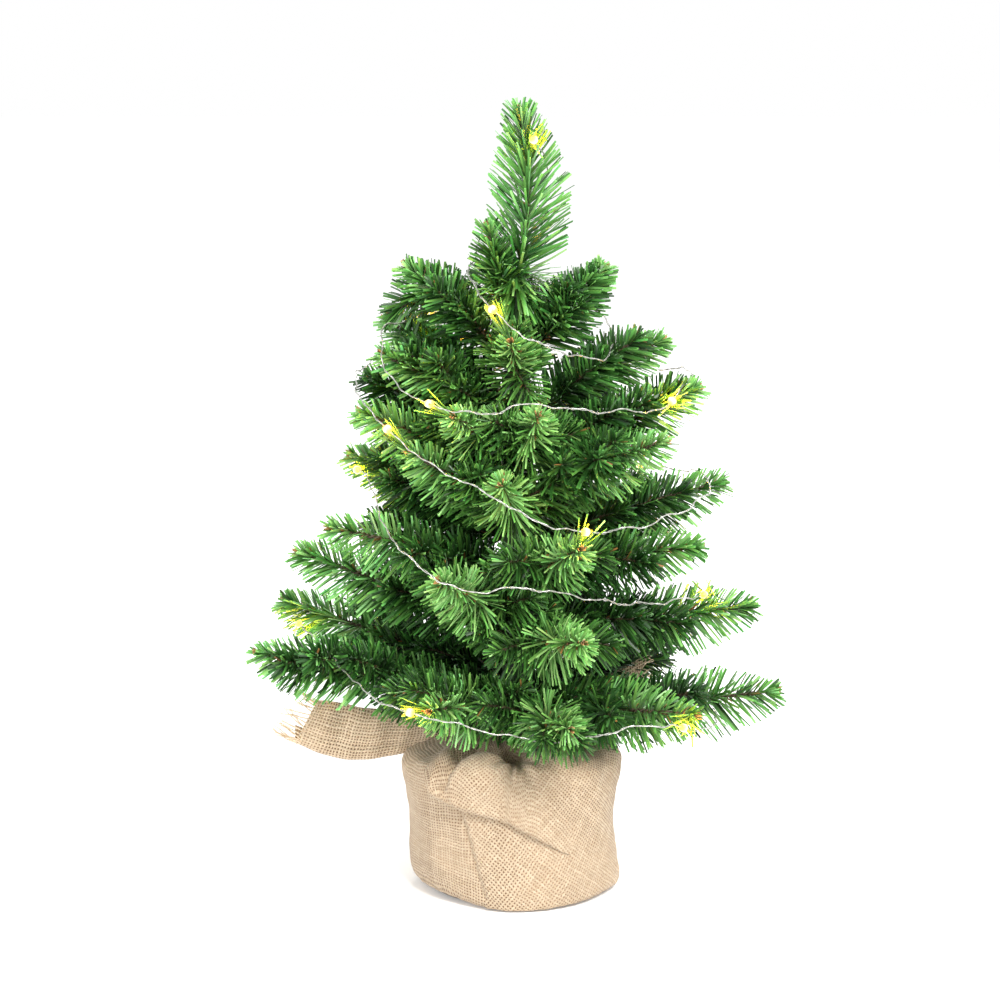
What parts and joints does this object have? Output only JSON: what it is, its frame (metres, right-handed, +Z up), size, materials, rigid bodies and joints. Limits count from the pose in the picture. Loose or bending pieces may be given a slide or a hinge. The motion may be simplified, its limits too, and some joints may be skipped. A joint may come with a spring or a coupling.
{
  "type": "artificial tabletop tree",
  "caption": "Small artificial fir with bendable needle branches on a pole, a battery light string wound round it, and a weighted base wrapped in burlap.",
  "frame": {"origin": "centre of the base's underside, on the pole's axis", "axes": "+Z up along the pole, -Y towards the front of the tree, +X to the right seen from the front"},
  "size_m": [0.3026, 0.2394, 0.45],
  "materials": {
    "needles": "cut PVC film needles in two greens on brown-flecked twisted wire",
    "pole_paint": "dark green-black semi-gloss enamel",
    "binding_tape": "dark stretched PVC tape",
    "pot_plastic": "moulded black polypropylene",
    "weight_cast": "cast gypsum cement",
    "burlap": "open plain weave jute",
    "tie_wire": "annealed wire",
    "case_plastic": "satin moulded ABS",
    "switch_plastic": "satin moulded ABS",
    "cell_metal": "printed foil, plain",
    "contact_metal": "nickel-plated spring steel",
    "board": "glass-epoxy board",
    "grommet_rubber": "soft PVC",
    "wire_silver": "clear-lacquered silver copper pair, loosely twisted",
    "led_epoxy": "clear epoxy drop, warm light inside"
  },
  "bodies": {
    "stand": {"trunk_pole": "pole_paint", "stem_bindings": "binding_tape", "base_pot": "pot_plastic", "base_weight": "weight_cast", "burlap_wrap": "burlap", "burlap_tie": "tie_wire", "burlap_tail_left": "burlap", "burlap_tail_right": "burlap", "battery_case": "case_plastic", "battery_cells": "cell_metal", "contact_springs": "contact_metal", "contact_plates": "contact_metal", "circuit_board": "board", "lead_grommet": "grommet_rubber", "light_string_wire": "wire_silver", "light_string_leds": "led_epoxy"},
    "cover": {"battery_cover": "case_plastic"},
    "switch": {"switch_slider": "switch_plastic"},
    "leader_sprig": {"leader": "needles"},
    "sprig_01": {"branch_01": "needles"},
    "sprig_02": {"branch_02": "needles"},
    "sprig_03": {"branch_03": "needles"},
    "sprig_04": {"branch_04": "needles"},
    "sprig_05": {"branch_05": "needles"},
    "sprig_06": {"branch_06": "needles"},
    "sprig_07": {"branch_07": "needles"},
    "sprig_08": {"branch_08": "needles"},
    "sprig_09": {"branch_09": "needles"},
    "sprig_10": {"branch_10": "needles"},
    "sprig_11": {"branch_11": "needles"},
    "sprig_12": {"branch_12": "needles"},
    "sprig_13": {"branch_13": "needles"},
    "sprig_14": {"branch_14": "needles"},
    "sprig_15": {"branch_15": "needles"},
    "sprig_16": {"branch_16": "needles"},
    "sprig_17": {"branch_17": "needles"},
    "sprig_18": {"branch_18": "needles"},
    "sprig_19": {"branch_19": "needles"},
    "sprig_20": {"branch_20": "needles"},
    "sprig_21": {"branch_21": "needles"},
    "sprig_22": {"branch_22": "needles"},
    "sprig_23": {"branch_23": "needles"},
    "sprig_24": {"branch_24": "needles"},
    "sprig_25": {"branch_25": "needles"},
    "sprig_26": {"branch_26": "needles"},
    "sprig_27": {"branch_27": "needles"},
    "sprig_28": {"branch_28": "needles"},
    "sprig_29": {"branch_29": "needles"},
    "sprig_30": {"branch_30": "needles"},
    "sprig_31": {"branch_31": "needles"},
    "sprig_32": {"branch_32": "needles"},
    "sprig_33": {"branch_33": "needles"},
    "sprig_34": {"branch_34": "needles"},
    "sprig_35": {"branch_35": "needles"},
    "sprig_36": {"branch_36": "needles"},
    "sprig_37": {"branch_37": "needles"},
    "sprig_38": {"branch_38": "needles"},
    "sprig_39": {"branch_39": "needles"},
    "sprig_40": {"branch_40": "needles"},
    "sprig_41": {"branch_41": "needles"}
  },
  "joints": [
    {"name": "cover_slide", "type": "slide", "parent": "stand", "child": "cover", "axis": [1, 0, 0], "range_m": [0, 0.066]},
    {"name": "switch_slide", "type": "slide", "parent": "stand", "child": "switch", "axis": [1, 0, 0], "range_m": [0, 0.003]},
    {"name": "leader_bend", "type": "hinge", "parent": "stand", "child": "leader_sprig", "pos_m": [0, 0, 0.347], "axis": [1, 0, 0], "range_deg": [-12, 12], "deforming": ["light_string_wire", "light_string_leds"]},
    {"name": "branch_01_bend", "type": "hinge", "parent": "stand", "child": "sprig_01", "pos_m": [0.00996, -0.00087, 0.099], "axis": [-0.0872, -0.9962, 0], "range_deg": [-9, 12], "deforming": ["light_string_wire", "light_string_leds"]},
    {"name": "branch_02_bend", "type": "hinge", "parent": "stand", "child": "sprig_02", "pos_m": [0.00829, -0.00559, 0.103], "axis": [-0.5592, -0.829, 0], "range_deg": [-9, 12], "deforming": ["light_string_wire", "light_string_leds"]},
    {"name": "branch_03_bend", "type": "hinge", "parent": "stand", "child": "sprig_03", "pos_m": [0.00276, -0.00961, 0.105], "axis": [-0.9613, -0.2756, 0], "range_deg": [-9, 12], "deforming": ["light_string_wire", "light_string_leds"]},
    {"name": "branch_04_bend", "type": "hinge", "parent": "stand", "child": "sprig_04", "pos_m": [-0.0047, -0.00883, 0.105], "axis": [-0.8829, 0.4695, 0], "range_deg": [-9, 12], "deforming": ["light_string_wire", "light_string_leds"]},
    {"name": "branch_05_bend", "type": "hinge", "parent": "stand", "child": "sprig_05", "pos_m": [-0.00961, -0.00276, 0.108], "axis": [-0.2756, 0.9613, 0], "range_deg": [-9, 12]},
    {"name": "branch_06_bend", "type": "hinge", "parent": "stand", "child": "sprig_06", "pos_m": [-0.00988, 0.00156, 0.122], "axis": [0.1564, 0.9877, 0], "range_deg": [-9, 12], "deforming": ["light_string_wire", "light_string_leds"]},
    {"name": "branch_10_bend", "type": "hinge", "parent": "stand", "child": "sprig_10", "pos_m": [0.00998, 0.0007, 0.152], "axis": [0.0698, -0.9976, 0], "range_deg": [-9, 12], "deforming": ["light_string_wire", "light_string_leds"]},
    {"name": "branch_12_bend", "type": "hinge", "parent": "stand", "child": "sprig_12", "pos_m": [-0.00438, -0.00899, 0.155], "axis": [-0.8988, 0.4384, 0], "range_deg": [-9, 12], "deforming": ["light_string_wire", "light_string_leds"]},
    {"name": "branch_13_bend", "type": "hinge", "parent": "stand", "child": "sprig_13", "pos_m": [-0.00998, -0.0007, 0.15], "axis": [-0.0698, 0.9976, 0], "range_deg": [-9, 12], "deforming": ["light_string_wire", "light_string_leds"]},
    {"name": "branch_16_bend", "type": "hinge", "parent": "stand", "child": "sprig_16", "pos_m": [0.00985, -0.00174, 0.182], "axis": [-0.1736, -0.9848, 0], "range_deg": [-9, 12]},
    {"name": "branch_18_bend", "type": "hinge", "parent": "stand", "child": "sprig_18", "pos_m": [0.00978, 0.00208, 0.198], "axis": [0.2079, -0.9781, 0], "range_deg": [-9, 12]},
    {"name": "branch_23_bend", "type": "hinge", "parent": "stand", "child": "sprig_23", "pos_m": [-0.00995, 0.00104, 0.211], "axis": [0.1045, 0.9945, 0], "range_deg": [-9, 12], "deforming": ["light_string_wire", "light_string_leds"]},
    {"name": "branch_41_bend", "type": "hinge", "parent": "stand", "child": "sprig_41", "pos_m": [-0.00956, -0.00292, 0.184], "axis": [-0.2924, 0.9563, 0], "range_deg": [-9, 12]},
    {"name": "branch_11_bend", "type": "hinge", "parent": "stand", "child": "sprig_11", "pos_m": [0.00358, -0.00934, 0.147], "axis": [-0.9336, -0.3584, 0], "range_deg": [-9, 12]},
    {"name": "branch_17_bend", "type": "hinge", "parent": "stand", "child": "sprig_17", "pos_m": [0.00407, -0.00914, 0.184], "axis": [-0.9135, -0.4067, 0], "range_deg": [-9, 12], "deforming": ["light_string_wire", "light_string_leds"]},
    {"name": "branch_25_bend", "type": "hinge", "parent": "stand", "child": "sprig_25", "pos_m": [0.00848, -0.0053, 0.228], "axis": [-0.5299, -0.848, 0], "range_deg": [-9, 12]},
    {"name": "branch_26_bend", "type": "hinge", "parent": "stand", "child": "sprig_26", "pos_m": [-0.00961, -0.00276, 0.236], "axis": [-0.2756, 0.9613, 0], "range_deg": [-9, 12], "deforming": ["light_string_wire", "light_string_leds"]},
    {"name": "branch_27_bend", "type": "hinge", "parent": "stand", "child": "sprig_27", "pos_m": [0.00996, -0.00087, 0.246], "axis": [-0.0872, -0.9962, 0], "range_deg": [-9, 12], "deforming": ["light_string_wire", "light_string_leds"]},
    {"name": "branch_28_bend", "type": "hinge", "parent": "stand", "child": "sprig_28", "pos_m": [-0.0053, -0.00848, 0.249], "axis": [-0.848, 0.5299, 0], "range_deg": [-9, 12], "deforming": ["light_string_wire", "light_string_leds"]},
    {"name": "branch_29_bend", "type": "hinge", "parent": "stand", "child": "sprig_29", "pos_m": [0.00174, -0.00985, 0.252], "axis": [-0.9848, -0.1736, 0], "range_deg": [-9, 12]},
    {"name": "branch_33_bend", "type": "hinge", "parent": "stand", "child": "sprig_33", "pos_m": [0.00995, 0.00104, 0.271], "axis": [0.1045, -0.9945, 0], "range_deg": [-9, 12], "deforming": ["light_string_wire", "light_string_leds"]},
    {"name": "branch_36_bend", "type": "hinge", "parent": "stand", "child": "sprig_36", "pos_m": [-0.0007, -0.00998, 0.292], "axis": [-0.9976, 0.0698, 0], "range_deg": [-9, 12], "deforming": ["light_string_wire", "light_string_leds"]},
    {"name": "branch_38_bend", "type": "hinge", "parent": "stand", "child": "sprig_38", "pos_m": [0.00996, -0.00087, 0.31], "axis": [-0.0872, -0.9962, 0], "range_deg": [-9, 12]},
    {"name": "branch_39_bend", "type": "hinge", "parent": "stand", "child": "sprig_39", "pos_m": [-0.00999, -0.00035, 0.308], "axis": [-0.0349, 0.9994, 0], "range_deg": [-9, 12], "deforming": ["light_string_wire", "light_string_leds"]},
    {"name": "branch_40_bend", "type": "hinge", "parent": "stand", "child": "sprig_40", "pos_m": [-0.00906, -0.00423, 0.334], "axis": [-0.4226, 0.9063, 0], "range_deg": [-9, 4]},
    {"name": "branch_09_bend", "type": "hinge", "parent": "stand", "child": "sprig_09", "pos_m": [0.00707, 0.00707, 0.101], "axis": [0.7071, -0.7071, 0], "range_deg": [-9, 12]},
    {"name": "branch_07_bend", "type": "hinge", "parent": "stand", "child": "sprig_07", "pos_m": [-0.00766, 0.00643, 0.102], "axis": [0.6428, 0.766, 0], "range_deg": [-9, 12]},
    {"name": "branch_08_bend", "type": "hinge", "parent": "stand", "child": "sprig_08", "pos_m": [-0.00087, 0.00996, 0.104], "axis": [0.9962, 0.0872, 0], "range_deg": [-9, 12], "deforming": ["light_string_wire", "light_string_leds"]},
    {"name": "branch_22_bend", "type": "hinge", "parent": "stand", "child": "sprig_22", "pos_m": [-0.00104, -0.00995, 0.215], "axis": [-0.9945, 0.1045, 0], "range_deg": [-9, 12], "deforming": ["light_string_wire", "light_string_leds"]},
    {"name": "branch_24_bend", "type": "hinge", "parent": "stand", "child": "sprig_24", "pos_m": [-0.00788, -0.00616, 0.226], "axis": [-0.6157, 0.788, 0], "range_deg": [-9, 12], "deforming": ["light_string_wire", "light_string_leds"]},
    {"name": "branch_34_bend", "type": "hinge", "parent": "stand", "child": "sprig_34", "pos_m": [-0.00961, -0.00276, 0.272], "axis": [-0.2756, 0.9613, 0], "range_deg": [-9, 12], "deforming": ["light_string_wire", "light_string_leds"]},
    {"name": "branch_35_bend", "type": "hinge", "parent": "stand", "child": "sprig_35", "pos_m": [-0.00978, 0.00208, 0.284], "axis": [0.2079, 0.9781, 0], "range_deg": [-9, 12]},
    {"name": "branch_32_bend", "type": "hinge", "parent": "stand", "child": "sprig_32", "pos_m": [-0.00956, 0.00292, 0.252], "axis": [0.2924, 0.9563, 0], "range_deg": [-9, 12], "deforming": ["light_string_wire", "light_string_leds"]},
    {"name": "branch_14_bend", "type": "hinge", "parent": "stand", "child": "sprig_14", "pos_m": [-0.005, 0.00866, 0.155], "axis": [0.866, 0.5, 0], "range_deg": [-9, 12]},
    {"name": "branch_15_bend", "type": "hinge", "parent": "stand", "child": "sprig_15", "pos_m": [0.00342, 0.0094, 0.148], "axis": [0.9397, -0.342, 0], "range_deg": [-9, 12]},
    {"name": "branch_19_bend", "type": "hinge", "parent": "stand", "child": "sprig_19", "pos_m": [0.00743, 0.00669, 0.19], "axis": [0.6691, -0.7431, 0], "range_deg": [-9, 12], "deforming": ["light_string_wire", "light_string_leds"]},
    {"name": "branch_20_bend", "type": "hinge", "parent": "stand", "child": "sprig_20", "pos_m": [-0.00087, 0.00996, 0.198], "axis": [0.9962, 0.0872, 0], "range_deg": [-9, 12], "deforming": ["light_string_wire", "light_string_leds"]},
    {"name": "branch_21_bend", "type": "hinge", "parent": "stand", "child": "sprig_21", "pos_m": [-0.00809, 0.00588, 0.2], "axis": [0.5878, 0.809, 0], "range_deg": [-9, 12], "deforming": ["light_string_wire", "light_string_leds"]},
    {"name": "branch_30_bend", "type": "hinge", "parent": "stand", "child": "sprig_30", "pos_m": [0.0047, 0.00883, 0.244], "axis": [0.8829, -0.4695, 0], "range_deg": [-9, 12], "deforming": ["light_string_wire", "light_string_leds"]},
    {"name": "branch_31_bend", "type": "hinge", "parent": "stand", "child": "sprig_31", "pos_m": [-0.00423, 0.00906, 0.25], "axis": [0.9063, 0.4226, 0], "range_deg": [-9, 12], "deforming": ["light_string_wire", "light_string_leds"]},
    {"name": "branch_37_bend", "type": "hinge", "parent": "stand", "child": "sprig_37", "pos_m": [0.00035, 0.00999, 0.292], "axis": [0.9994, -0.0349, 0], "range_deg": [-9, 12], "deforming": ["light_string_wire", "light_string_leds"]}
  ]
}
